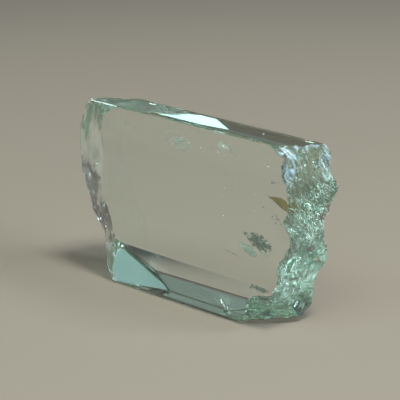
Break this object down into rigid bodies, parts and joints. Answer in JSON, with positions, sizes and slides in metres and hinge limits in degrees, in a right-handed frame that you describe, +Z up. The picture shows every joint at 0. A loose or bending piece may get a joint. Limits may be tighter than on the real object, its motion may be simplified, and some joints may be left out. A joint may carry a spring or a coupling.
{
  "type": "hiddenite crystal",
  "caption": "Clear pale green slab-shaped crystal fragment with flat prism faces and rough broken ends, standing on a narrow flat edge.",
  "frame": {"origin": "centre of the crystal's box in X and Y, at the level of the flat foot that it stands on", "axes": "+X along the crystal's length towards the rougher broken end, +Y from the broad front face to the back face, +Z up"},
  "size_m": [0.0282, 0.0064, 0.0182],
  "materials": {
    "crystal": "clear pale green, glossy on the flat faces and frosty on the broken ends"
  },
  "bodies": {
    "root": {"crystal": "crystal"}
  },
  "joints": []
}
